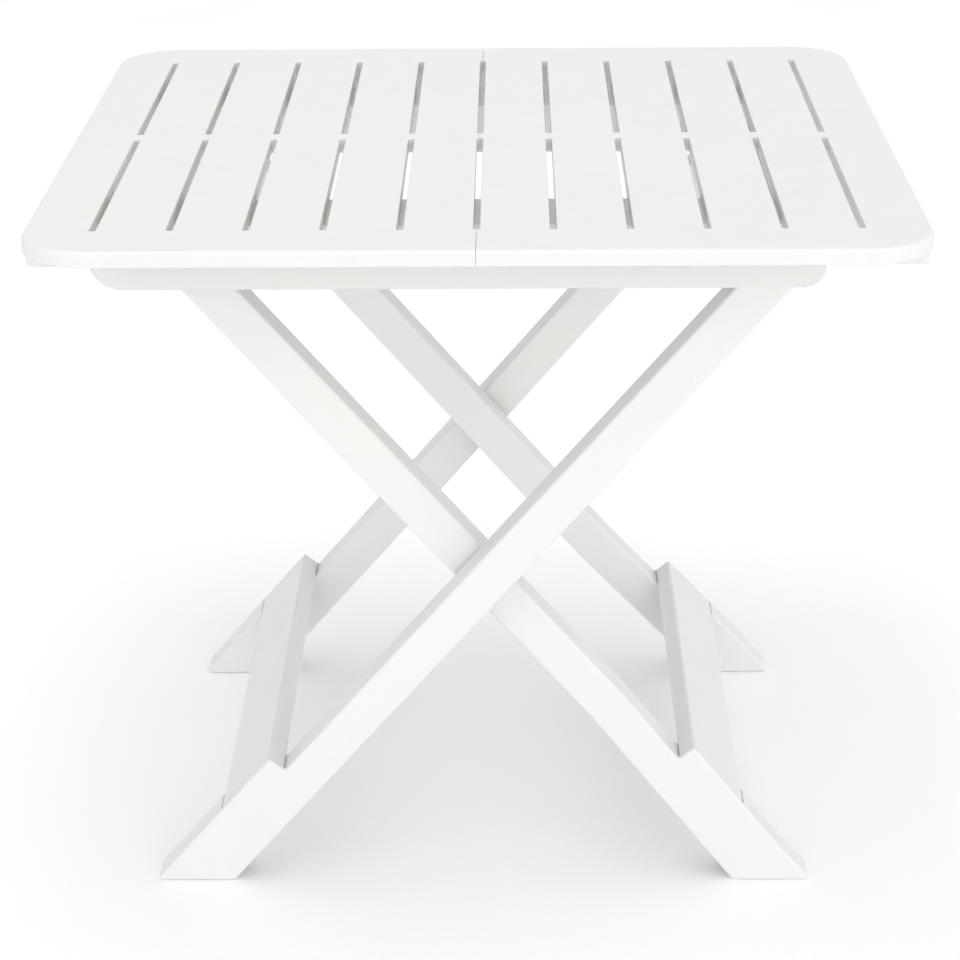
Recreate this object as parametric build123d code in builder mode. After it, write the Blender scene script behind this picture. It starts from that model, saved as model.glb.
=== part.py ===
from build123d import *

import os
from math import cos, radians, sin, tan

# Folding garden table in moulded plastic: a slatted top in two halves on two rails, an outer
# leg frame hinged to the rails, and an inner leg frame that crosses it like scissors.
# X runs along the long side, Y from the front (-) to the back (+), Z up. The origin is on the
# floor, under the middle of the top. Millimetres.

# ---- driving dimensions: the top ----------------------------------------------------------
TABLE_LENGTH = 790
TABLE_DEPTH = 720
TABLE_HEIGHT = 700

PANEL_HEIGHT = 14           # depth of the skirt around each half of the top
PLATE = 3.5                 # thickness of the moulded plate itself
SKIRT_WALL = 3
CORNER_RADIUS = 60
TOP_EDGE_RADIUS = 4
PANEL_RIB = 2.5
PANEL_RIB_PITCH = 72
EDGE_RIB_Y = 304            # a deeper rib just beyond the ends of the slots
EDGE_RIB_BOTTOM = 669

SLOT_WIDTH = 6
SLOT_PITCH = 66.8
SLOTS_PER_HALF = 5
SLOT_END = 300              # outer ends of the slots, from the middle of the depth
SLOT_BRIDGE = 18            # solid bridge between a front slot and its back slot
SLOT_WALL = 2.5
SLOT_CORNER_RADIUS = 1.5
SLOT_EDGE_RADIUS = 1
SEAM_GAP = 6                # open joint between the halves, as long as the slots
SEAM_PLAY = 0.15            # each half stands this far back from the middle where they touch
SEAM_PEG_RADIUS = 3
SEAM_PEG_LENGTH = 22
SEAM_PEG_WALL = 4           # plastic left around each peg hole

# ---- driving dimensions: the rails --------------------------------------------------------
RAIL_FACE = 243             # outer face of a rail, from the middle of the depth
RAIL_WIDTH = 78
RAIL_BOTTOM = 626
RAIL_LIP_BOTTOM = 666
RAIL_LEFT = -350
RAIL_RIGHT = 312
RAIL_LEFT_RADIUS = 30
RAIL_RIGHT_RADIUS = 20
RAIL_WALL = 3.5
RAIL_RIB = 3
RAIL_RIB_PITCH = 60
RAIL_RIBS_FROM = -180
RAIL_RIB_COUNT = 6
HANGER_FACE = 203           # outer face of the plates that carry the hinge rod
HANGER_HALF_WIDTH = 20
TRACK_HALF_GAP = 10.4       # half the height of the slide rod's track
TRACK_DEPTH = 14
TRACK_RIB = 3
TRACK_RIGHT = -225

# ---- driving dimensions: the legs ---------------------------------------------------------
LEG_ANGLE = 40.5            # from the vertical, with the table open
PIVOT_HEIGHT = 322          # where the legs cross
HINGE_HEIGHT = 652          # hinge rod and slide rod
LEG_WIDTH = 40
LEG_THICKNESS = 34
LEG_WALL = 3
LEG_RIB = 2.5
LEG_RIB_PITCH = 54
LEG_EDGE_RADIUS = 3
OUTER_LEG_INNER_FACE = 204.5
LEG_GAP = 1.5               # washer space between the legs at the crossing
KICK_FROM = -190            # along the inner leg, where its lower end starts to splay outward
KICK_TO = -410

FOOT_RAISE = 20             # the foot is this much wider than the leg, on its upper side
FOOT_TOP = -275             # along the leg from the crossing, where the wide foot starts
BOARD_WIDTH = 77
BOARD_WALL = 3
BOARD_RIB_COUNT = 7
SEAT_WALL = 4               # the foot's wall outside the crossbar's end
PLAY = 0.3                  # clearance around parts that are put together by hand
ACROSS = 1000               # wider than the table, for cuts that run right across it

# ---- driving dimensions: rods, pins and screws --------------------------------------------
HINGE_ROD_RADIUS = 10
SLIDE_ROD_RADIUS = 8
ROD_END = 234.5             # end of both rods, from the middle of the depth
ROD_WALL = 2
PLUG_LENGTH = 10
PLUG_RIM = 1
ROLLER_RADIUS = 10.2
ROLLER_LENGTH = 10
PIVOT_PIN_RADIUS = 7
PIVOT_PIN_DEPTH = 30        # how far the pin reaches into each leg
BOSS_RADIUS = 16
PIN_CHAMFER = 1
RUNNING_CLEARANCE = 0.05
WASHER_RADIUS = 16
WASHER_PLAY = 0.1

SCREW_RADIUS = 1.9
SCREW_HOLE_RADIUS = 2.1
SCREW_HEAD_RADIUS = 4
SCREW_HEAD_HEIGHT = 2.6
SCREW_POINT = 1.2
SCREW_BOSS_RADIUS = 6
RECESS_LENGTH = 4.4
RECESS_WIDTH = 1
RECESS_DEPTH = 1.2
PANEL_SCREW_LENGTH = 12
PANEL_SCREW_Y = 186
BOARD_SCREW_LENGTH = 14
BOARD_SCREW_STEPS = (20, 57)     # down the leg from the top of the foot

# ---- worked out from them -----------------------------------------------------------------
HALF_LENGTH = TABLE_LENGTH / 2
HALF_DEPTH = TABLE_DEPTH / 2
PANEL_UNDERSIDE = TABLE_HEIGHT - PANEL_HEIGHT
PLATE_UNDERSIDE = TABLE_HEIGHT - PLATE
PANEL_SCREW_X = [SLOT_PITCH * (n + 0.5) for n in (0, 2, 4)]
RAIL_INNER = RAIL_FACE - RAIL_WIDTH
RAIL_FLANGE = PANEL_UNDERSIDE - RAIL_WALL
LEAN = radians(LEG_ANGLE)
UPPER_ARM = (HINGE_HEIGHT - PIVOT_HEIGHT) / cos(LEAN)
HINGE_X = (HINGE_HEIGHT - PIVOT_HEIGHT) * tan(LEAN)
LEG_SIDE = LEG_WIDTH / 2
FOOT_SIDE = LEG_SIDE + FOOT_RAISE
INNER_LEG_OUTER_FACE = OUTER_LEG_INNER_FACE - LEG_GAP
INNER_LEG_INNER_FACE = INNER_LEG_OUTER_FACE - LEG_THICKNESS
INNER_KICK = OUTER_LEG_INNER_FACE - INNER_LEG_INNER_FACE
BOARD_BOTTOM = FOOT_TOP - BOARD_WIDTH

# A leg is drawn as the front outer leg lies: its own X runs up the leg from the crossing.
# In the side view Y leaves the upper side of the leg, in the plan view it runs to the back.
ALONG_LEG = (sin(LEAN), 0, cos(LEAN))
OFF_LEG = (-cos(LEAN), 0, sin(LEAN))
PIVOT = (0, 0, PIVOT_HEIGHT)
SIDE_VIEW = Plane(origin=PIVOT, x_dir=ALONG_LEG, z_dir=(0, -1, 0))
PLAN_VIEW = Plane(origin=PIVOT, x_dir=ALONG_LEG, z_dir=OFF_LEG)


def floor_at(side):
    """Place along the leg where a line this far off its middle meets the floor."""
    return -(PIVOT_HEIGHT + side * sin(LEAN)) / cos(LEAN)


os.makedirs("parts", exist_ok=True)

# ---- the top ------------------------------------------------------------------------------
rib_reach = int(HALF_DEPTH / PANEL_RIB_PITCH)
panel_ribs = [PANEL_RIB_PITCH * n for n in range(-rib_reach, rib_reach + 1)]
slot_columns = [SLOT_PITCH * n for n in range(1, SLOTS_PER_HALF + 1)]
slot_length = SLOT_END - SLOT_BRIDGE / 2
slot_middle = (SLOT_END + SLOT_BRIDGE / 2) / 2
seam_peg_y = (SLOT_END + HALF_DEPTH) / 2
seam_peg_z = (PANEL_UNDERSIDE + PLATE_UNDERSIDE) / 2
panel_screw_spots = [(x, y) for x in PANEL_SCREW_X for y in (-PANEL_SCREW_Y, PANEL_SCREW_Y)]

with BuildPart() as top_panel_right:
    # the slab, with a soft edge along its three outer sides
    with BuildSketch(Plane.XY.offset(PANEL_UNDERSIDE)) as outline:
        with Locations((SEAM_PLAY, 0)):
            Rectangle(HALF_LENGTH - SEAM_PLAY, TABLE_DEPTH, align=(Align.MIN, Align.CENTER))
        fillet(outline.vertices().sort_by(Axis.X)[-2:], CORNER_RADIUS)
    extrude(amount=PANEL_HEIGHT)
    upper_edges = top_panel_right.faces().sort_by(Axis.Z)[-1].edges().sort_by(Axis.X)
    fillet(upper_edges[1:], TOP_EDGE_RADIUS)

    # the open joint along the seam; the halves touch at its ends and at the bridge in its middle
    with BuildSketch(Plane.XY.offset(PANEL_UNDERSIDE)):
        with Locations((0, -slot_middle), (0, slot_middle)):
            Rectangle(SEAM_GAP, slot_length)
    extrude(amount=PANEL_HEIGHT, mode=Mode.SUBTRACT)

    # pockets underneath, between the skirt, the slot walls and the ribs
    with BuildSketch(Plane.XY.offset(PANEL_UNDERSIDE)) as pockets:
        with Locations((SEAM_GAP / 2 + SLOT_WALL, 0)):
            Rectangle(
                HALF_LENGTH - SKIRT_WALL - SEAM_GAP / 2 - SLOT_WALL,
                TABLE_DEPTH - 2 * SKIRT_WALL,
                align=(Align.MIN, Align.CENTER),
            )
        fillet(pockets.vertices().sort_by(Axis.X)[-2:], CORNER_RADIUS - SKIRT_WALL)
        with Locations([(x, 0) for x in slot_columns]):
            Rectangle(SLOT_WIDTH + 2 * SLOT_WALL, TABLE_DEPTH, mode=Mode.SUBTRACT)
        with Locations([(HALF_LENGTH / 2, y) for y in panel_ribs]):
            Rectangle(HALF_LENGTH, PANEL_RIB, mode=Mode.SUBTRACT)
        with Locations(panel_screw_spots):
            Circle(SCREW_BOSS_RADIUS, mode=Mode.SUBTRACT)
        with Locations((0, -seam_peg_y), (0, seam_peg_y)):
            Rectangle(
                SEAM_PEG_LENGTH + 2 * SEAM_PEG_WALL,
                2 * (SEAM_PEG_RADIUS + SEAM_PEG_WALL),
                mode=Mode.SUBTRACT,
            )
    extrude(amount=PANEL_HEIGHT - PLATE, mode=Mode.SUBTRACT)

    # the deeper ribs that stiffen the front and back edges
    with BuildSketch(Plane.XY.offset(EDGE_RIB_BOTTOM)):
        with Locations((SEAM_PLAY, -EDGE_RIB_Y), (SEAM_PLAY, EDGE_RIB_Y)):
            Rectangle(
                HALF_LENGTH - SKIRT_WALL - SEAM_PLAY,
                PANEL_RIB,
                align=(Align.MIN, Align.CENTER),
            )
    extrude(amount=PLATE_UNDERSIDE - EDGE_RIB_BOTTOM)

    # slots with a soft upper rim, screw holes and the holes for the seam pegs
    with BuildSketch(Plane.XY.offset(PANEL_UNDERSIDE)):
        with Locations([(x, y) for x in slot_columns for y in (-slot_middle, slot_middle)]):
            RectangleRounded(SLOT_WIDTH, slot_length, SLOT_CORNER_RADIUS)
    extrude(amount=PANEL_HEIGHT, mode=Mode.SUBTRACT)
    top_face = top_panel_right.faces().sort_by(Axis.Z)[-1]
    slot_rims = [edge for rim in top_face.inner_wires() for edge in rim.edges()]
    seam_edges = top_face.outer_wire().edges().filter_by(Axis.Y).sort_by(SortBy.LENGTH)
    seam_rims = seam_edges.filter_by_position(Axis.X, 0, SEAM_GAP)[-2:]
    fillet(slot_rims + seam_rims, SLOT_EDGE_RADIUS)
    with BuildSketch(Plane.XY.offset(PANEL_UNDERSIDE)):
        with Locations(panel_screw_spots):
            Circle(SCREW_HOLE_RADIUS)
    extrude(amount=PANEL_SCREW_LENGTH - RAIL_WALL + PLAY, mode=Mode.SUBTRACT)
    with BuildSketch(Plane.YZ):
        with Locations((-seam_peg_y, seam_peg_z), (seam_peg_y, seam_peg_z)):
            Circle(SEAM_PEG_RADIUS + PLAY / 2)
    extrude(amount=SEAM_PEG_LENGTH / 2 + PLAY, mode=Mode.SUBTRACT)

with BuildPart() as top_panel_left:
    mirror(top_panel_right.part, about=Plane.YZ)

with BuildPart() as seam_pegs:
    with BuildSketch(Plane.YZ.offset(-SEAM_PEG_LENGTH / 2)):
        with Locations((-seam_peg_y, seam_peg_z), (seam_peg_y, seam_peg_z)):
            Circle(SEAM_PEG_RADIUS)
    extrude(amount=SEAM_PEG_LENGTH)
    chamfer(seam_pegs.edges().filter_by(GeomType.CIRCLE), PIN_CHAMFER)

# ---- the rails ----------------------------------------------------------------------------
rail_screw_spots = [
    (side * x, -PANEL_SCREW_Y) for x in PANEL_SCREW_X for side in (-1, 1)
]
rail_ribs = [RAIL_RIBS_FROM + RAIL_RIB_PITCH * n for n in range(RAIL_RIB_COUNT)]
track_length = TRACK_RIGHT - RAIL_LEFT
rail_length = RAIL_RIGHT - RAIL_LEFT
rail_middle = (RAIL_RIGHT + RAIL_LEFT) / 2

with BuildPart() as rail_front:
    # the face that shows, with rounded lower corners
    with BuildSketch(Plane.XZ.offset(RAIL_FACE - RAIL_WALL)) as face:
        with Locations((rail_middle, PANEL_UNDERSIDE)):
            Rectangle(rail_length, PANEL_UNDERSIDE - RAIL_BOTTOM, align=(Align.CENTER, Align.MAX))
        fillet(face.vertices().group_by(Axis.X)[0].sort_by(Axis.Z)[0], RAIL_LEFT_RADIUS)
        fillet(face.vertices().group_by(Axis.X)[-1].sort_by(Axis.Z)[0], RAIL_RIGHT_RADIUS)
    extrude(amount=RAIL_WALL)

    # flange under the top, with a lip along its inner edge
    with BuildSketch(Plane.XY.offset(RAIL_FLANGE)):
        with Locations((rail_middle, -RAIL_INNER)):
            Rectangle(rail_length, RAIL_WIDTH, align=(Align.CENTER, Align.MAX))
        with Locations(rail_screw_spots):
            Circle(SCREW_HOLE_RADIUS, mode=Mode.SUBTRACT)
    extrude(amount=RAIL_WALL)
    with BuildSketch(Plane.XY.offset(RAIL_LIP_BOTTOM)):
        with Locations((rail_middle, -RAIL_INNER)):
            Rectangle(rail_length, RAIL_RIB, align=(Align.CENTER, Align.MAX))
        with Locations([(x, -RAIL_INNER) for x in rail_ribs]):
            Rectangle(RAIL_RIB, RAIL_WIDTH - RAIL_WALL / 2, align=(Align.CENTER, Align.MAX))
    extrude(amount=PANEL_UNDERSIDE - RAIL_LIP_BOTTOM)

    # hanger plate for the hinge rod
    with BuildSketch(Plane.XZ.offset(HANGER_FACE - RAIL_WALL)):
        with Locations((HINGE_X, HINGE_HEIGHT)):
            Circle(HANGER_HALF_WIDTH)
            Rectangle(
                2 * HANGER_HALF_WIDTH,
                PANEL_UNDERSIDE - HINGE_HEIGHT,
                align=(Align.CENTER, Align.MIN),
            )
            Circle(HINGE_ROD_RADIUS + RUNNING_CLEARANCE, mode=Mode.SUBTRACT)
    extrude(amount=RAIL_WALL)

    # the two ribs of the slide rod's track, open at the rail's left end
    with BuildSketch(Plane.XZ.offset(RAIL_FACE - RAIL_WALL - TRACK_DEPTH)):
        with Locations(
            (RAIL_LEFT, HINGE_HEIGHT + TRACK_HALF_GAP),
            (RAIL_LEFT, HINGE_HEIGHT - TRACK_HALF_GAP - TRACK_RIB),
        ):
            Rectangle(track_length, TRACK_RIB, align=(Align.MIN, Align.MIN))
        with Locations((TRACK_RIGHT, HINGE_HEIGHT - TRACK_HALF_GAP - TRACK_RIB)):
            Rectangle(
                TRACK_RIB,
                PANEL_UNDERSIDE - HINGE_HEIGHT + TRACK_HALF_GAP + TRACK_RIB,
                align=(Align.MIN, Align.MIN),
            )
    extrude(amount=TRACK_DEPTH)
    # the lower rib stops where the rail's rounded corner begins
    with BuildSketch(Plane.XZ.offset(RAIL_FACE)) as corner:
        with Locations((RAIL_LEFT, RAIL_BOTTOM)):
            Rectangle(RAIL_LEFT_RADIUS, RAIL_LEFT_RADIUS, align=(Align.MIN, Align.MIN))
        with Locations((RAIL_LEFT + RAIL_LEFT_RADIUS, RAIL_BOTTOM + RAIL_LEFT_RADIUS)):
            Circle(RAIL_LEFT_RADIUS, mode=Mode.SUBTRACT)
    extrude(amount=-RAIL_WALL - TRACK_DEPTH, mode=Mode.SUBTRACT)

with BuildPart() as rail_back:
    mirror(rail_front.part, about=Plane.XZ)


# ---- the legs -----------------------------------------------------------------------------
def kicked(place, kick):
    """How far a leg stands outward at a place along it, when its lower end splays by kick."""
    share = (KICK_FROM - place) / (KICK_FROM - KICK_TO)
    return kick * min(max(share, 0), 1)


def leg_outline(inner_face, kick, top, bottom, inner_inset, outer_inset):
    """Plan outline of a front leg between two places along it, inset from its two faces."""
    bends = [KICK_FROM, KICK_TO] if kick else []
    places = [top] + [bend for bend in bends if bottom < bend < top] + [bottom]
    inner = [(s, -inner_face - kicked(s, kick) - inner_inset) for s in places]
    outer = [(s, -inner_face - kicked(s, kick) - LEG_THICKNESS + outer_inset) for s in places]
    return inner + outer[::-1]


def board_screw_spots(inner_face, kick):
    """Plan positions of the two screws that hold the crossbar in a front foot."""
    places = [FOOT_TOP - step for step in BOARD_SCREW_STEPS]
    return [(s, -inner_face - kicked(s, kick) - LEG_THICKNESS / 2) for s in places]


def front_leg(inner_face, kick):
    """A front leg in the outer frame's position: a channel moulding, open underneath."""
    top_end = UPPER_ARM + LEG_SIDE
    with BuildPart() as moulding:
        with BuildSketch(SIDE_VIEW.offset(inner_face)):
            with BuildLine():
                Polyline(
                    (UPPER_ARM, LEG_SIDE),
                    (FOOT_TOP, LEG_SIDE),
                    (FOOT_TOP, FOOT_SIDE),
                    (floor_at(FOOT_SIDE), FOOT_SIDE),
                    (floor_at(-LEG_SIDE), -LEG_SIDE),
                    (UPPER_ARM, -LEG_SIDE),
                )
                ThreePointArc((UPPER_ARM, -LEG_SIDE), (top_end, 0), (UPPER_ARM, LEG_SIDE))
            make_face()
        extrude(amount=LEG_THICKNESS + kick)
        if kick:
            with BuildSketch(PLAN_VIEW.offset(-LEG_SIDE)):
                with BuildLine():
                    outline = leg_outline(inner_face, kick, top_end, floor_at(FOOT_SIDE), 0, 0)
                    Polyline(*outline, close=True)
                make_face()
            extrude(amount=LEG_SIDE + FOOT_SIDE, mode=Mode.INTERSECT)
        fillet(moulding.edges(), LEG_EDGE_RADIUS)

        # the channel, with cross ribs and a solid stretch at the crossing
        rib_reach = int(UPPER_ARM / LEG_RIB_PITCH)
        ribs = [LEG_RIB_PITCH * n for n in range(-rib_reach, rib_reach + 1)]
        with BuildSketch(PLAN_VIEW.offset(-LEG_SIDE)):
            with BuildLine():
                Polyline(
                    *leg_outline(
                        inner_face,
                        kick,
                        UPPER_ARM - BOSS_RADIUS,
                        floor_at(-LEG_SIDE) + LEG_WALL,
                        LEG_WALL,
                        LEG_WALL,
                    ),
                    close=True,
                )
            make_face()
            with Locations([(s, 0) for s in ribs]):
                Rectangle(LEG_RIB, ACROSS, mode=Mode.SUBTRACT)
            Rectangle(2 * BOSS_RADIUS, ACROSS, mode=Mode.SUBTRACT)
        extrude(amount=LEG_WIDTH - LEG_WALL, mode=Mode.SUBTRACT)

        # the deeper pocket in the toe, below the crossbar
        with BuildSketch(PLAN_VIEW.offset(-LEG_SIDE)):
            with BuildLine():
                Polyline(
                    *leg_outline(
                        inner_face,
                        kick,
                        BOARD_BOTTOM - SEAT_WALL,
                        floor_at(-LEG_SIDE) + LEG_WALL,
                        LEG_WALL,
                        LEG_WALL,
                    ),
                    close=True,
                )
            make_face()
        extrude(amount=LEG_SIDE + FOOT_SIDE - LEG_WALL, mode=Mode.SUBTRACT)

        # the seat for the crossbar's end, open above and inward, and its two screw holes
        with BuildSketch(PLAN_VIEW.offset(LEG_SIDE)):
            with BuildLine():
                Polyline(
                    *leg_outline(
                        inner_face,
                        kick,
                        FOOT_TOP + 2 * LEG_EDGE_RADIUS,
                        BOARD_BOTTOM - PLAY,
                        -LEG_WALL,
                        SEAT_WALL,
                    ),
                    close=True,
                )
            make_face()
        extrude(amount=FOOT_RAISE, mode=Mode.SUBTRACT)
        with BuildSketch(PLAN_VIEW):
            with Locations(board_screw_spots(inner_face, kick)):
                Circle(SCREW_HOLE_RADIUS)
        extrude(amount=LEG_SIDE, mode=Mode.SUBTRACT)

        # blind bore for the pivot pin, and the rod's bore at the top
        pivot_face = inner_face if not kick else inner_face + LEG_THICKNESS - PIVOT_PIN_DEPTH
        with BuildSketch(SIDE_VIEW.offset(pivot_face)):
            Circle(PIVOT_PIN_RADIUS + RUNNING_CLEARANCE)
        extrude(amount=PIVOT_PIN_DEPTH, mode=Mode.SUBTRACT)
        rod_radius = SLIDE_ROD_RADIUS if kick else HINGE_ROD_RADIUS
        with BuildSketch(SIDE_VIEW.offset(inner_face)):
            with Locations((UPPER_ARM, 0)):
                Circle(rod_radius + RUNNING_CLEARANCE)
        extrude(amount=ROD_END + PLUG_RIM + PLAY - inner_face, mode=Mode.SUBTRACT)
    return moulding.part


def crossbar(inner_face, kick):
    """The board between the feet of one frame, with an end in each foot's seat."""
    def reach(place, extra):
        return inner_face + kicked(place, kick) + extra

    def outline(top, bottom, extra):
        return [
            (top, -reach(top, extra)),
            (bottom, -reach(bottom, extra)),
            (bottom, reach(bottom, extra)),
            (top, reach(top, extra)),
        ]

    seated = LEG_THICKNESS - SEAT_WALL - PLAY
    spots = board_screw_spots(inner_face, kick)
    all_spots = spots + [(s, -y) for s, y in spots]
    with BuildPart() as board:
        with BuildSketch(PLAN_VIEW.offset(LEG_SIDE)):
            with BuildLine():
                Polyline(*outline(FOOT_TOP, BOARD_BOTTOM, seated), close=True)
            make_face()
        extrude(amount=FOOT_RAISE)
        fillet(board.edges().filter_by(Axis.Y), LEG_EDGE_RADIUS)

        # hollow underneath, with ribs across it and a boss round each screw
        rib_gap = 2 * reach(FOOT_TOP, 0) / (BOARD_RIB_COUNT - 1)
        with BuildSketch(PLAN_VIEW.offset(LEG_SIDE)):
            with BuildLine():
                hollow = outline(
                    FOOT_TOP - BOARD_WALL, BOARD_BOTTOM + BOARD_WALL, seated - BOARD_WALL
                )
                Polyline(*hollow, close=True)
            make_face()
            with Locations([((FOOT_TOP + BOARD_BOTTOM) / 2, 0)]):
                with GridLocations(0, rib_gap, 1, BOARD_RIB_COUNT):
                    Rectangle(BOARD_WIDTH, BOARD_WALL, mode=Mode.SUBTRACT)
            with Locations(all_spots):
                Circle(SCREW_BOSS_RADIUS, mode=Mode.SUBTRACT)
        extrude(amount=FOOT_RAISE - BOARD_WALL, mode=Mode.SUBTRACT)

        with BuildSketch(PLAN_VIEW.offset(LEG_SIDE)):
            with Locations(all_spots):
                Circle(SCREW_HOLE_RADIUS)
        extrude(amount=BOARD_SCREW_LENGTH - LEG_WALL + PLAY, mode=Mode.SUBTRACT)
    return board.part


def screws(plane, spots, length):
    """Pan head screws whose heads bear on the plane and whose shanks follow its normal."""
    with BuildPart() as group:
        with BuildSketch(plane.offset(-SCREW_HEAD_HEIGHT)):
            with Locations(spots):
                Circle(SCREW_HEAD_RADIUS)
        extrude(amount=SCREW_HEAD_HEIGHT)
        head_rims = group.edges().filter_by(GeomType.CIRCLE).group_by(SortBy.LENGTH)[-1]
        under = [edge for edge in head_rims if plane.to_local_coords(edge.center()).Z < -PLAY]
        fillet(under, SCREW_HEAD_HEIGHT / 2)
        with BuildSketch(plane):
            with Locations(spots):
                Circle(SCREW_RADIUS)
        extrude(amount=length)
        tips = [
            edge
            for edge in group.edges().filter_by(GeomType.CIRCLE)
            if plane.to_local_coords(edge.center()).Z > length - PLAY
        ]
        chamfer(tips, SCREW_POINT)
        with BuildSketch(plane.offset(-SCREW_HEAD_HEIGHT)):
            with Locations(spots):
                Rectangle(RECESS_LENGTH, RECESS_WIDTH)
                Rectangle(RECESS_WIDTH, RECESS_LENGTH)
        extrude(amount=RECESS_DEPTH, mode=Mode.SUBTRACT)
    return group.part


def board_screws(inner_face, kick):
    spots = board_screw_spots(inner_face, kick)
    plane = PLAN_VIEW.offset(LEG_SIDE - LEG_WALL)
    return screws(plane, spots + [(s, -y) for s, y in spots], BOARD_SCREW_LENGTH)


def tube(x, radius):
    """A rod from rail to rail at hinge height."""
    with BuildPart() as rod:
        with BuildSketch(Plane.XZ.offset(-ROD_END)):
            with Locations((x, HINGE_HEIGHT)):
                Circle(radius)
                Circle(radius - ROD_WALL, mode=Mode.SUBTRACT)
        extrude(amount=2 * ROD_END)
    return rod.part


def tube_plugs(x, radius):
    """The two plugs in the ends of a rod, each with a thin rim."""
    with BuildPart() as plugs:
        with BuildSketch(Plane.XZ.offset(ROD_END - PLUG_LENGTH)):
            with Locations((x, HINGE_HEIGHT)):
                Circle(radius - ROD_WALL - RUNNING_CLEARANCE)
        extrude(amount=PLUG_LENGTH)
        with BuildSketch(Plane.XZ.offset(ROD_END)):
            with Locations((x, HINGE_HEIGHT)):
                Circle(radius - PLAY)
        extrude(amount=PLUG_RIM)
        mirror(about=Plane.XZ)
    return plugs.part


def washers(x, z, bore):
    """The two washers between the legs, or between a leg and its hanger plate."""
    with BuildPart() as pair:
        with BuildSketch(Plane.XZ.offset(INNER_LEG_OUTER_FACE + WASHER_PLAY)):
            with Locations((x, z)):
                Circle(WASHER_RADIUS)
                Circle(bore + PLAY, mode=Mode.SUBTRACT)
        extrude(amount=LEG_GAP - 2 * WASHER_PLAY)
        mirror(about=Plane.XZ)
    return pair.part


# ---- the outer frame ----------------------------------------------------------------------
with BuildPart() as outer_leg_front:
    add(front_leg(OUTER_LEG_INNER_FACE, 0))

with BuildPart() as outer_leg_back:
    mirror(outer_leg_front.part, about=Plane.XZ)

with BuildPart() as outer_crossbar:
    add(crossbar(OUTER_LEG_INNER_FACE, 0))

with BuildPart() as outer_crossbar_screws:
    add(board_screws(OUTER_LEG_INNER_FACE, 0))

with BuildPart() as hinge_rod:
    add(tube(HINGE_X, HINGE_ROD_RADIUS))

with BuildPart() as hinge_rod_plugs:
    add(tube_plugs(HINGE_X, HINGE_ROD_RADIUS))

with BuildPart() as hinge_washers:
    add(washers(HINGE_X, HINGE_HEIGHT, HINGE_ROD_RADIUS))

with BuildPart() as pivot_pin_front:
    with BuildSketch(Plane.XZ.offset(INNER_LEG_OUTER_FACE - PIVOT_PIN_DEPTH + PLAY)):
        with Locations((0, PIVOT_HEIGHT)):
            Circle(PIVOT_PIN_RADIUS)
    extrude(amount=2 * PIVOT_PIN_DEPTH + LEG_GAP - 2 * PLAY)
    chamfer(pivot_pin_front.edges().filter_by(GeomType.CIRCLE), PIN_CHAMFER)

with BuildPart() as pivot_pin_back:
    mirror(pivot_pin_front.part, about=Plane.XZ)

with BuildPart() as pivot_washers:
    add(washers(0, PIVOT_HEIGHT, PIVOT_PIN_RADIUS))

# ---- the inner frame: drawn like the outer one and turned round to lean the other way -----
with BuildPart() as inner_leg_front:
    mirror(front_leg(INNER_LEG_INNER_FACE, INNER_KICK), about=Plane.YZ)

with BuildPart() as inner_leg_back:
    mirror(inner_leg_front.part, about=Plane.XZ)

with BuildPart() as inner_crossbar:
    mirror(crossbar(INNER_LEG_INNER_FACE, INNER_KICK), about=Plane.YZ)

with BuildPart() as inner_crossbar_screws:
    mirror(board_screws(INNER_LEG_INNER_FACE, INNER_KICK), about=Plane.YZ)

with BuildPart() as slide_rod:
    add(tube(-HINGE_X, SLIDE_ROD_RADIUS))

with BuildPart() as slide_rod_plugs:
    add(tube_plugs(-HINGE_X, SLIDE_ROD_RADIUS))

with BuildPart() as slide_rollers:
    with BuildSketch(Plane.XZ.offset(ROD_END - ROLLER_LENGTH)):
        with Locations((-HINGE_X, HINGE_HEIGHT)):
            Circle(ROLLER_RADIUS)
            Circle(SLIDE_ROD_RADIUS + RUNNING_CLEARANCE, mode=Mode.SUBTRACT)
    extrude(amount=ROLLER_LENGTH)
    mirror(about=Plane.XZ)

# ---- the screws that hold the top on the rails --------------------------------------------
with BuildPart() as panel_screws:
    add(
        screws(
            Plane.XY.offset(RAIL_FLANGE),
            [(x, side * y) for x, y in rail_screw_spots for side in (-1, 1)],
            PANEL_SCREW_LENGTH,
        )
    )

# ---- write every piece --------------------------------------------------------------------
pieces = {
    "top_panel_left": top_panel_left,
    "top_panel_right": top_panel_right,
    "seam_pegs": seam_pegs,
    "panel_screws": panel_screws,
    "rail_front": rail_front,
    "rail_back": rail_back,
    "outer_leg_front": outer_leg_front,
    "outer_leg_back": outer_leg_back,
    "outer_crossbar": outer_crossbar,
    "outer_crossbar_screws": outer_crossbar_screws,
    "hinge_rod": hinge_rod,
    "hinge_rod_plugs": hinge_rod_plugs,
    "hinge_washers": hinge_washers,
    "pivot_pin_front": pivot_pin_front,
    "pivot_pin_back": pivot_pin_back,
    "pivot_washers": pivot_washers,
    "inner_leg_front": inner_leg_front,
    "inner_leg_back": inner_leg_back,
    "inner_crossbar": inner_crossbar,
    "inner_crossbar_screws": inner_crossbar_screws,
    "slide_rod": slide_rod,
    "slide_rod_plugs": slide_rod_plugs,
    "slide_rollers": slide_rollers,
}
for name, piece in pieces.items():
    piece.part.label = name
    export_step(piece.part, f"parts/{name}.step")
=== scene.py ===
import math

import bpy
from mathutils import Matrix, Vector


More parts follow.
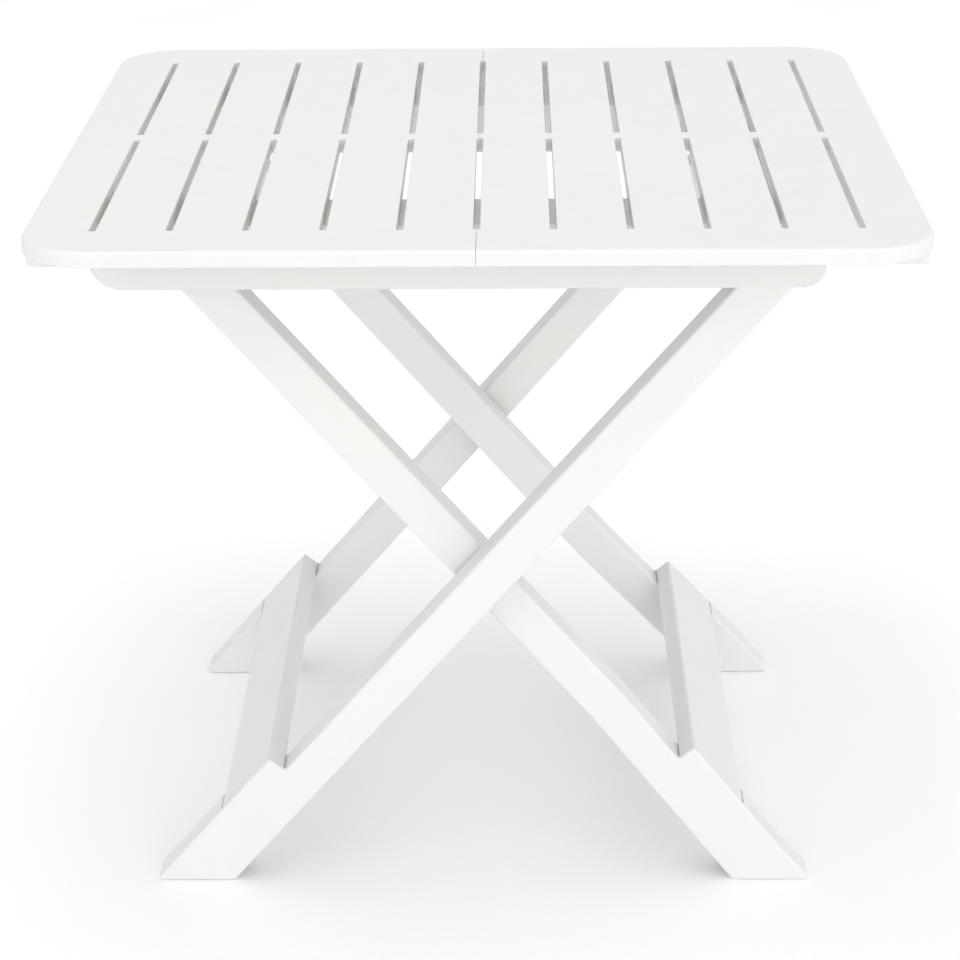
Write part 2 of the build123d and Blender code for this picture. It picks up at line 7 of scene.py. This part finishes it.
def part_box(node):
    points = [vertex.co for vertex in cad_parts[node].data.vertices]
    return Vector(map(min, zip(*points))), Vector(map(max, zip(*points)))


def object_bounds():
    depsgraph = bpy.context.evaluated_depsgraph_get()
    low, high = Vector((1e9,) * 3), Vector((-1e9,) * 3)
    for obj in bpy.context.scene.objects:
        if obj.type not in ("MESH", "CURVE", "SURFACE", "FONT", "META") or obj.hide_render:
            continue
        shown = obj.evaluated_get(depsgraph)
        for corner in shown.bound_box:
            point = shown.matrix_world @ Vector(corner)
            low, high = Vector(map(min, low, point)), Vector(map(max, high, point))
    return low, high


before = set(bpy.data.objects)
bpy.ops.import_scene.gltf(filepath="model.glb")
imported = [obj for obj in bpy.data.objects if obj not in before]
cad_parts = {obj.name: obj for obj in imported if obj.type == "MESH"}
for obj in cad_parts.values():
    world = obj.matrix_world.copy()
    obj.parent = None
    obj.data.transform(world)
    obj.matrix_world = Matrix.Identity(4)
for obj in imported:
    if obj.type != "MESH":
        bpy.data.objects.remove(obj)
cad_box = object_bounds()

# ---- places worked out from the frame ------------------------------------------------------
MM = 0.001
HEIGHT = cad_box[1].z
MIDDLE = Vector((0, 0, HEIGHT / 2))


def centre(node):
    corner_low, corner_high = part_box(node)
    return (corner_low + corner_high) / 2


hinge = centre("hinge_rod")
crossing = (centre("pivot_pin_front") + centre("pivot_pin_back")) / 2
LEAN = math.atan2(hinge.x - crossing.x, hinge.z - crossing.z)     # of the outer legs, from the vertical

# ---- colours -------------------------------------------------------------------------------
TOP_WHITE = (0.80, 0.80, 0.79)
FRAME_WHITE = (0.81, 0.81, 0.80)
ACETAL_WHITE = (0.74, 0.74, 0.71)
COOL_TINT = (0.985, 0.992, 1.0)
WARM_TINT = (1.0, 0.996, 0.984)
# dark tone of the shade painted into corners and recesses
SHADE_TONE = (0.46, 0.44, 0.40)
SCUFF = (0.62, 0.61, 0.59)
ZINC = (0.62, 0.64, 0.67)
# dull zinc: real dull flecks on the tube, and the shade painted into screw recesses
ZINC_DULL_AND_SHADE = (0.42, 0.43, 0.44)
ZINC_YELLOW = (0.66, 0.63, 0.54)
FLOOR_DARK = (0.95, 0.95, 0.95)
FLOOR_LIGHT = (0.97, 0.97, 0.97)
PURE_WHITE = (1, 1, 1)

# ---- marks on the plastic: the size of each, then how strong or deep it is -----------------
CLOUD_SIZE = 160 * MM
STREAK_SIZE = 18 * MM
SCUFF_PATCH = 12 * MM
# patches of the painted shade in corners are about this size
SHADE_PATCH = 30 * MM
SMUDGE_SIZE = 70 * MM
WAVE_SIZE = 50 * MM
GRAIN_SIZE = 0.9 * MM
SCRATCH_SIZE = 0.5 * MM
SCRATCH_PATCH = 110 * MM

EDGE_REACH = 1.2 * MM         # how far from an edge the plastic is rubbed
CORNER_REACH = 14 * MM        # how far out of a corner the painted shade reaches
SOFT_EDGE = 0.7 * MM          # rounding that the light sees on every edge
STREAK_STRENGTH = 0.05
SCUFF_STRENGTH = 0.35
# how dark the painted shade in corners is
SHADE_STRENGTH = 0.22
RUBBED_POLISH = 0.12
WAVE_DEPTH = 0.12 * MM
TOP_GRAIN = 0.05 * MM
TOP_SCRATCHES = 0.03 * MM
FRAME_GRAIN = 0.025 * MM
FRAME_SCRATCHES = 0.02 * MM
SATIN = (0.36, 0.50)          # roughness, from clean plastic to a smudge

ALONG_PIECE = (0.12, 1, 1)    # draws a texture out along X
HAIRLINE = (0.01, 1, 1)
HAIRLINE_SLANT = 0.35         # of the scratches, from the direction of flow

SHADER_SAMPLES = 4            # rays for each bevel and each look into a corner


# ---- short calls for building node trees ---------------------------------------------------
class Recipe:
    """A new material and its node tree. Every call returns an output socket."""

    def __init__(self, name):
        self.material = bpy.data.materials.new(name)
        self.material.use_nodes = True
        self.tree = self.material.node_tree
        self.shader = self.tree.nodes["Principled BSDF"]
        self.place = self.tree.nodes.new("ShaderNodeTexCoord").outputs["Object"]

    def feed(self, value, socket):
        """Links a socket, or sets a plain value."""
        if isinstance(value, bpy.types.NodeSocket):
            self.tree.links.new(value, socket)
        elif socket.type == "RGBA":
            socket.default_value = (*value, 1)
        else:
            socket.default_value = value

    def finish(self, **inputs):
        """Feeds the shader's inputs, written with underscores for spaces."""
        for name, value in inputs.items():
            self.feed(value, self.shader.inputs[name.replace("_", " ")])
        return self.material

    def turned(self, stretch, angle_y=0.0):
        """The object's coordinates turned about Y, then scaled, so that a texture can run along a leg."""
        turn = self.tree.nodes.new("ShaderNodeMapping")
        turn.inputs["Rotation"].default_value = (0, angle_y, 0)
        self.feed(self.place, turn.inputs["Vector"])
        scale = self.tree.nodes.new("ShaderNodeMapping")
        scale.inputs["Scale"].default_value = stretch
        self.feed(turn.outputs["Vector"], scale.inputs["Vector"])
        return scale.outputs["Vector"]

    def noise(self, size, detail, place=None, roughness=0.5):
        """Noise whose blotches are about this size, in metres."""
        node = self.tree.nodes.new("ShaderNodeTexNoise")
        self.feed(place or self.place, node.inputs["Vector"])
        node.inputs["Scale"].default_value = 1 / size
        node.inputs["Detail"].default_value = detail
        node.inputs["Roughness"].default_value = roughness
        return node.outputs["Fac"]

    def spread(self, value, start, end, to_start=0.0, to_end=1.0):
        """Maps start..end to to_start..to_end, held at both ends."""
        node = self.tree.nodes.new("ShaderNodeMapRange")
        self.feed(value, node.inputs["Value"])
        node.inputs["From Min"].default_value = start
        node.inputs["From Max"].default_value = end
        node.inputs["To Min"].default_value = to_start
        node.inputs["To Max"].default_value = to_end
        return node.outputs["Result"]

    def maths(self, operation, first, second):
        node = self.tree.nodes.new("ShaderNodeMath")
        node.operation = operation
        self.feed(first, node.inputs[0])
        self.feed(second, node.inputs[1])
        return node.outputs["Value"]

    def blend(self, share, first, second, blend_type="MIX"):
        """Mixes two colours."""
        node = self.tree.nodes.new("ShaderNodeMixRGB")
        node.blend_type = blend_type
        self.feed(share, node.inputs["Fac"])
        self.feed(first, node.inputs["Color1"])
        self.feed(second, node.inputs["Color2"])
        return node.outputs["Color"]

    def bevel(self, radius):
        node = self.tree.nodes.new("ShaderNodeBevel")
        node.samples = SHADER_SAMPLES
        node.inputs["Radius"].default_value = radius
        return node.outputs["Normal"]

    def edges(self, radius):
        """1 on sharp edges, 0 on open faces."""
        facing = self.tree.nodes.new("ShaderNodeVectorMath")
        facing.operation = "DOT_PRODUCT"
        self.feed(self.bevel(radius), facing.inputs[0])
        self.feed(self.tree.nodes.new("ShaderNodeNewGeometry").outputs["Normal"], facing.inputs[1])
        return self.spread(facing.outputs["Value"], 1.0, 0.85)

    def shade_in_corners(self, reach):
        """Ambient occlusion, used to paint shade into the colour: 1 deep in corners, 0 in the open."""
        node = self.tree.nodes.new("ShaderNodeAmbientOcclusion")
        node.samples = SHADER_SAMPLES
        node.inputs["Distance"].default_value = reach
        return self.spread(node.outputs["AO"], 0.75, 0.2)

    def bump(self, height, distance, normal=None):
        node = self.tree.nodes.new("ShaderNodeBump")
        node.inputs["Distance"].default_value = distance
        self.feed(height, node.inputs["Height"])
        if normal is not None:
            self.feed(normal, node.inputs["Normal"])
        return node.outputs["Normal"]


# ---- materials -----------------------------------------------------------------------------
def white_plastic(name, colour, flow_angle, grain_depth, scratch_depth):
    """Moulded polypropylene: spark-eroded grain, flow streaks, rubbed edges, painted shade in the corners.
    """
    made = Recipe(name)
    along = made.turned(ALONG_PIECE, flow_angle)

    # colour: broad cool and warm clouds, streaks where the melt ran, scuffed edges, painted shade in the
    # corners
    clouds = made.spread(made.noise(CLOUD_SIZE, 3), 0.35, 0.65)
    tint = made.blend(clouds, WARM_TINT, COOL_TINT)
    white = made.blend(1.0, colour, tint, "MULTIPLY")
    streaks = made.spread(made.noise(STREAK_SIZE, 3, along), 0.42, 0.72, 0.0, STREAK_STRENGTH)
    white = made.blend(streaks, white, SCUFF)
    rubbed = made.maths(
        "MULTIPLY", made.edges(EDGE_REACH), made.spread(made.noise(SCUFF_PATCH, 4), 0.4, 0.7)
    )
    white = made.blend(made.maths("MULTIPLY", rubbed, SCUFF_STRENGTH), white, SCUFF)
    # painted shade: the colour darkens deep in corners, found by ambient occlusion, in patches
    painted_corner_shade = made.maths(
        "MULTIPLY", made.shade_in_corners(CORNER_REACH), made.spread(made.noise(SHADE_PATCH, 4), 0.3, 0.7)
    )
    white = made.blend(made.maths("MULTIPLY", painted_corner_shade, SHADE_STRENGTH), white, SHADE_TONE)

    # sheen: satin, duller in smudged patches, polished along rubbed edges
    smudges = made.spread(made.noise(SMUDGE_SIZE, 5, roughness=0.6), 0.3, 0.7, *SATIN)
    sheen = made.maths("SUBTRACT", smudges, made.maths("MULTIPLY", rubbed, RUBBED_POLISH))

    # surface: slow waves from cooling, the mould's grain, and hairline scratches
    waves = made.bump(made.noise(WAVE_SIZE, 2), WAVE_DEPTH, made.bevel(SOFT_EDGE))
    grain = made.bump(made.noise(GRAIN_SIZE, 3, roughness=0.7), grain_depth, waves)
    hair = made.noise(SCRATCH_SIZE, 1, made.turned(HAIRLINE, flow_angle + HAIRLINE_SLANT))
    hair_lines = made.spread(hair, 0.70, 0.74)
    scratched = made.maths("MULTIPLY", hair_lines, made.spread(made.noise(SCRATCH_PATCH, 2), 0.5, 0.62))
    surface = made.bump(made.maths("SUBTRACT", 1.0, scratched), scratch_depth, grain)

    return made.finish(
        Base_Color=white,
        Roughness=sheen,
        IOR=1.49,
        Subsurface_Weight=0.08,
        Subsurface_Radius=Vector((1.0, 0.95, 0.85)),
        Subsurface_Scale=2 * MM,
        Normal=surface,
    )


def turned_acetal():
    """Off-white pins, plugs, washers and rollers, with faint turning marks."""
    made = Recipe("turned_acetal")
    rings = made.noise(0.6 * MM, 2, made.turned((0.1, 1, 0.1)))
    clouds = made.spread(made.noise(20 * MM, 3), 0.35, 0.65)
    colour = made.blend(clouds, ACETAL_WHITE, tuple(c * 0.93 for c in ACETAL_WHITE))
    # painted shade: darker deep in corners and recesses, found by ambient occlusion
    recess_shade = made.maths("MULTIPLY", made.shade_in_corners(6 * MM), 0.4)
    colour = made.blend(recess_shade, colour, SHADE_TONE)
    return made.finish(
        Base_Color=colour,
        Roughness=made.spread(rings, 0.3, 0.7, 0.24, 0.38),
        IOR=1.48,
        Subsurface_Weight=0.1,
        Subsurface_Scale=1.5 * MM,
        Normal=made.bump(rings, 0.03 * MM, made.bevel(0.3 * MM)),
    )


def zinc_tube():
    """Drawn steel tube, zinc plated: lines along Y, a faint yellow bloom and dull flecks."""
    made = Recipe("zinc_tube")
    drawn = made.noise(0.7 * MM, 3, made.turned((1, 0.02, 1)))
    bloom = made.spread(made.noise(50 * MM, 4), 0.45, 0.7)
    colour = made.blend(made.maths("MULTIPLY", bloom, 0.5), ZINC, ZINC_YELLOW)
    flecks = made.spread(made.noise(4 * MM, 4, roughness=0.7), 0.55, 0.75)
    colour = made.blend(made.maths("MULTIPLY", flecks, 0.45), colour, ZINC_DULL_AND_SHADE)
    return made.finish(
        Base_Color=colour,
        Metallic=1.0,
        Roughness=made.spread(drawn, 0.3, 0.7, 0.22, 0.42),
        Anisotropic=0.5,
        Normal=made.bump(drawn, 0.02 * MM, made.bevel(0.3 * MM)),
    )


def zinc_screw():
    """Small zinc-plated screws, brushed, yellowed in patches, with shade painted darker into the recess."""
    made = Recipe("zinc_screw")
    brushed = made.noise(0.25 * MM, 3, made.turned((1, 0.2, 0.2)))
    colour = made.blend(made.spread(made.noise(2 * MM, 3), 0.4, 0.7), ZINC, ZINC_YELLOW)
    # painted shade: darker in the recess, found by ambient occlusion
    colour = made.blend(made.shade_in_corners(1.5 * MM), colour, ZINC_DULL_AND_SHADE)
    return made.finish(
        Base_Color=colour,
        Metallic=1.0,
        Roughness=made.spread(brushed, 0.3, 0.7, 0.25, 0.45),
        Normal=made.bump(brushed, 0.01 * MM, made.bevel(0.2 * MM)),
    )


def dress(material, *nodes):
    """Gives CAD nodes their finished material."""
    for node in nodes:
        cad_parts[node].material_slots[0].material = material


top_plastic = white_plastic("top_plastic", TOP_WHITE, math.pi / 2, TOP_GRAIN, TOP_SCRATCHES)
rail_plastic = white_plastic("rail_plastic", FRAME_WHITE, 0.0, FRAME_GRAIN, FRAME_SCRATCHES)
outer_plastic = white_plastic("outer_plastic", FRAME_WHITE, math.pi / 2 - LEAN, FRAME_GRAIN, FRAME_SCRATCHES)
inner_plastic = white_plastic("inner_plastic", FRAME_WHITE, LEAN - math.pi / 2, FRAME_GRAIN, FRAME_SCRATCHES)
acetal = turned_acetal()
tube_zinc = zinc_tube()
screw_zinc = zinc_screw()

dress(top_plastic, "top_panel_left", "top_panel_right")
dress(rail_plastic, "rail_front", "rail_back")
dress(outer_plastic, "outer_leg_front", "outer_leg_back", "outer_crossbar")
dress(inner_plastic, "inner_leg_front", "inner_leg_back", "inner_crossbar")
dress(acetal, "seam_pegs", "pivot_pin_front", "pivot_pin_back", "pivot_washers")
dress(acetal, "hinge_rod_plugs", "hinge_washers", "slide_rod_plugs", "slide_rollers")
dress(tube_zinc, "hinge_rod", "slide_rod")
dress(screw_zinc, "panel_screws", "outer_crossbar_screws", "inner_crossbar_screws")


# ---- floor ---------------------------------------------------------------------------------
FLOOR_SIZE = 30
FLOOR_GLOW = 0.05


def pale_floor():
    """A pale matt sweep, with the faintest grain."""
    made = Recipe("pale_floor")
    mottle = made.spread(made.noise(500 * MM, 4), 0.3, 0.7)
    return made.finish(
        Base_Color=made.blend(mottle, FLOOR_DARK, FLOOR_LIGHT),
        Emission_Color=PURE_WHITE,
        Emission_Strength=FLOOR_GLOW,
        Roughness=0.9,
        Specular_IOR_Level=0.1,
        Normal=made.bump(made.noise(2 * MM, 2), 0.02 * MM),
    )


bpy.ops.mesh.primitive_plane_add(size=FLOOR_SIZE, location=(0, 0, 0))
floor = bpy.context.object
floor.name = "floor"
floor.data.materials.append(pale_floor())

# ---- light ---------------------------------------------------------------------------------
AMBIENT = 0.98
AMBIENT_LEAN = (0.10, -0.28, 0.0)         # the room is brighter to the right and in front of the table
BACKDROP = 1.0


def white_world():
    """White behind everything, and a white room as light, uneven as AMBIENT_LEAN says."""
    world = bpy.data.worlds.new("studio")
    world.use_nodes = True
    tree = world.node_tree
    direction = tree.nodes.new("ShaderNodeTexCoord").outputs["Generated"]
    lean = tree.nodes.new("ShaderNodeVectorMath")
    lean.operation = "DOT_PRODUCT"
    lean.inputs[1].default_value = AMBIENT_LEAN
    tree.links.new(direction, lean.inputs[0])
    room = tree.nodes.new("ShaderNodeMath")
    room.operation = "ADD"
    room.inputs[1].default_value = AMBIENT
    tree.links.new(lean.outputs["Value"], room.inputs[0])
    strength = tree.nodes.new("ShaderNodeMapRange")
    strength.inputs["To Max"].default_value = BACKDROP
    tree.links.new(tree.nodes.new("ShaderNodeLightPath").outputs["Is Camera Ray"], strength.inputs["Value"])
    tree.links.new(room.outputs["Value"], strength.inputs["To Min"])
    tree.links.new(strength.outputs["Result"], tree.nodes["Background"].inputs["Strength"])
    tree.nodes["Background"].inputs["Color"].default_value = (*PURE_WHITE, 1)
    return world


def softbox(name, place, aim, size, power):
    """Adds a square white area light at one place, pointed at another."""
    data = bpy.data.lights.new(name, "AREA")
    data.shape = "SQUARE"
    data.size = size
    data.energy = power
    light = bpy.data.objects.new(name, data)
    bpy.context.scene.collection.objects.link(light)
    light.location = place
    light.rotation_euler = (Vector(aim) - Vector(place)).to_track_quat("-Z", "Y").to_euler()


bpy.context.scene.world = white_world()
softbox("overhead", place=(-0.3, 0, 3.0), aim=(0, 0, HEIGHT), size=0.9, power=8)
softbox("key", place=(1.1, -3.4, 1.0), aim=MIDDLE, size=1.8, power=11)

# ---- camera --------------------------------------------------------------------------------
CAMERA_PLACE = (0.030, -2.362, 1.357)
CAMERA_YAW = math.radians(-0.80)          # from +Y towards +X
CAMERA_PITCH = math.radians(23.43)        # below the horizon
CAMERA_ROLL = math.radians(0.49)
SENSOR = 36
LENS = 93.25

camera_data = bpy.data.cameras.new("camera")
camera_data.sensor_width = SENSOR
camera_data.lens = LENS
camera = bpy.data.objects.new("camera", camera_data)
bpy.context.scene.collection.objects.link(camera)
camera.matrix_world = (
    Matrix.Translation(CAMERA_PLACE)
    @ Matrix.Rotation(-CAMERA_YAW, 4, "Z")
    @ Matrix.Rotation(math.pi / 2 - CAMERA_PITCH, 4, "X")
    @ Matrix.Rotation(-CAMERA_ROLL, 4, "Z")
)
bpy.context.scene.camera = camera
bpy.context.scene.view_settings.view_transform = "Standard"
